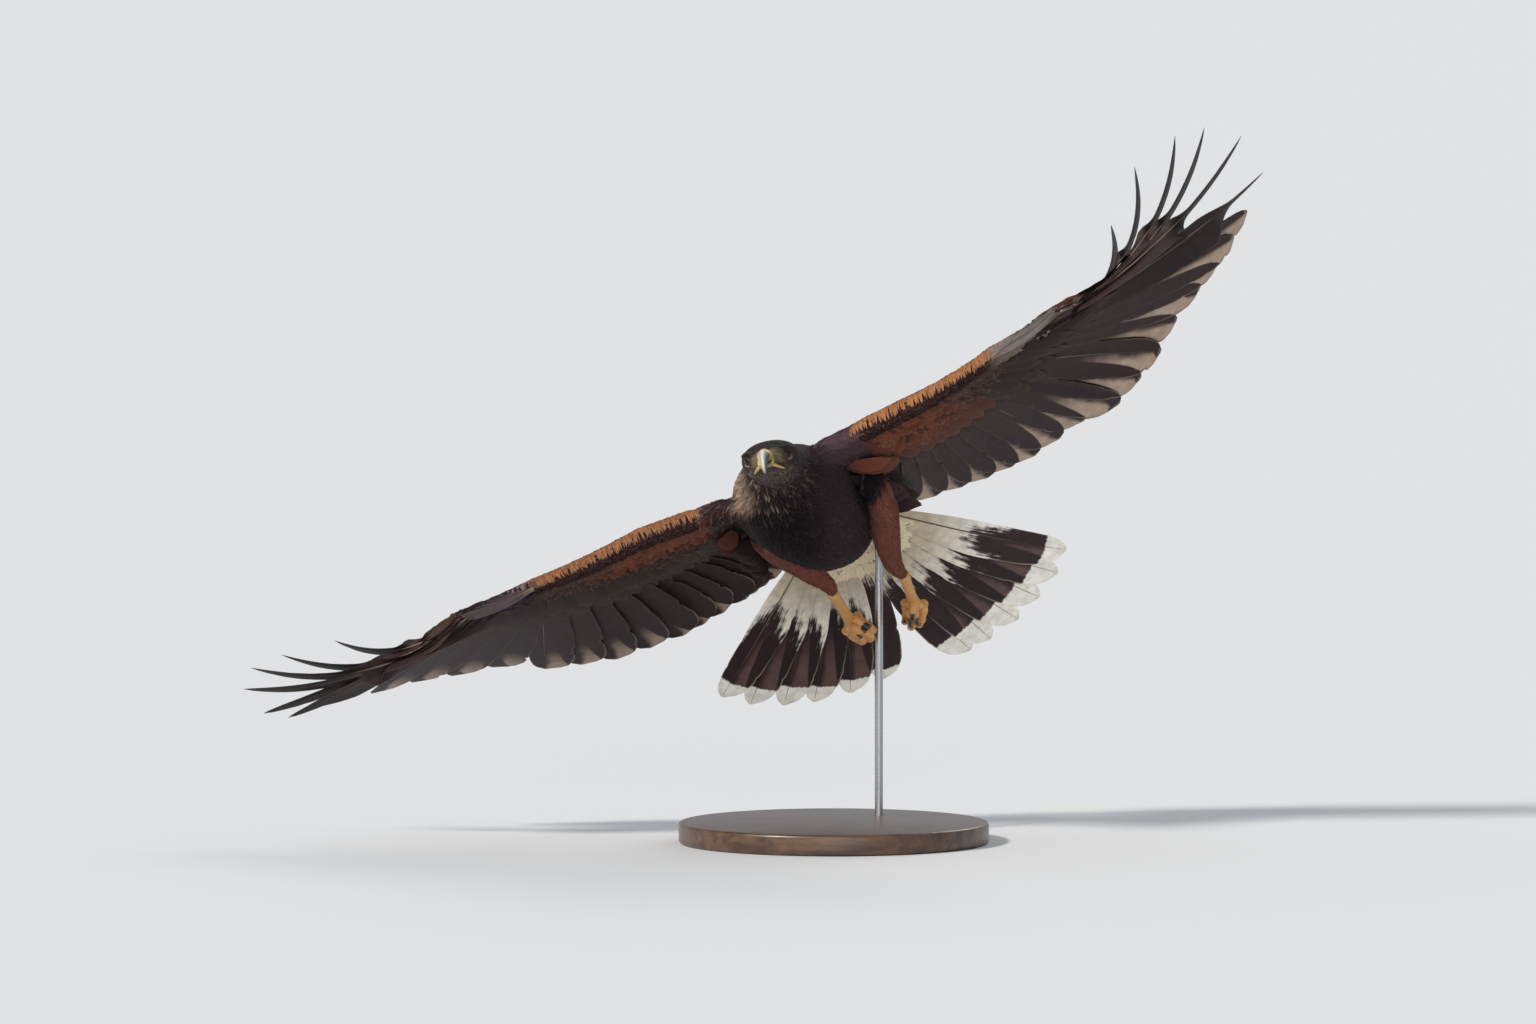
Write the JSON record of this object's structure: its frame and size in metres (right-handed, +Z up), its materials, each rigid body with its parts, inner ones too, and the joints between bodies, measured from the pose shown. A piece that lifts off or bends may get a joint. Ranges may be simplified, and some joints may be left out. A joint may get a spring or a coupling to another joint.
{
  "type": "life-size harris hawk model on a display stand",
  "caption": "Life-size Harris's hawk in braking flight, wings and tail spread and feet tucked up, held by one rod on a round wooden base.",
  "frame": {"origin": "centre of the stand base's flat underside, at floor level", "axes": "+Z up; the bird flies towards -Y, so that its head and breast face -Y, and its left wing reaches towards +X, which is the longest side of the whole"},
  "size_m": [0.9838, 0.4222, 0.6916],
  "materials": {
    "dark_plumage": "soft chocolate-brown body feathers with paler edges",
    "rufous_plumage": "chestnut shoulder, wing-lining and thigh feathers with dark shaft streaks",
    "flight_feather": "dark grey-brown flight feathers with paler edges, lightly glossy",
    "tail_feather": "blackish-brown tail feathers with white roots and tips",
    "pale_plumage": "creamy white tail coverts",
    "scaled_leg": "yellow-orange scaled skin",
    "bill": "blue-grey horn with a black tip and a yellow cere",
    "talon": "polished black horn",
    "eye": "wet dark red-brown eye",
    "stand_wood": "dark stained turned wood, satin varnish",
    "stand_steel": "fine brushed steel rod"
  },
  "bodies": {
    "root": {"head": "dark_plumage", "neck": "dark_plumage", "trunk": "dark_plumage", "eye_left": "eye", "eye_right": "eye", "bill_upper": "bill", "bill_lower": "bill", "wing_left_arm": "rufous_plumage", "wing_left_forearm": "flight_feather", "wing_left_hand": "flight_feather", "alula_left": "flight_feather", "primary_left_5": "flight_feather", "primary_left_6": "flight_feather", "primary_left_7": "flight_feather", "primary_left_8": "flight_feather", "primary_left_9": "flight_feather", "primary_left_10": "flight_feather", "wing_right_arm": "rufous_plumage", "wing_right_forearm": "flight_feather", "wing_right_hand": "flight_feather", "alula_right": "flight_feather", "primary_right_5": "flight_feather", "primary_right_6": "flight_feather", "primary_right_7": "flight_feather", "primary_right_8": "flight_feather", "primary_right_9": "flight_feather", "primary_right_10": "flight_feather", "tail_base": "pale_plumage", "rectrix_left_1": "tail_feather", "rectrix_left_2": "tail_feather", "rectrix_left_3": "tail_feather", "rectrix_left_4": "tail_feather", "rectrix_left_5": "tail_feather", "rectrix_left_6": "tail_feather", "rectrix_right_1": "tail_feather", "rectrix_right_2": "tail_feather", "rectrix_right_3": "tail_feather", "rectrix_right_4": "tail_feather", "rectrix_right_5": "tail_feather", "rectrix_right_6": "tail_feather", "thigh_left": "rufous_plumage", "tarsus_left": "scaled_leg", "foot_left": "scaled_leg", "talon_left_inner": "talon", "talon_left_middle": "talon", "talon_left_outer": "talon", "talon_left_hind": "talon", "thigh_right": "rufous_plumage", "tarsus_right": "scaled_leg", "foot_right": "scaled_leg", "talon_right_inner": "talon", "talon_right_middle": "talon", "talon_right_outer": "talon", "talon_right_hind": "talon", "stand_base": "stand_wood", "stand_rod": "stand_steel"}
  },
  "joints": []
}
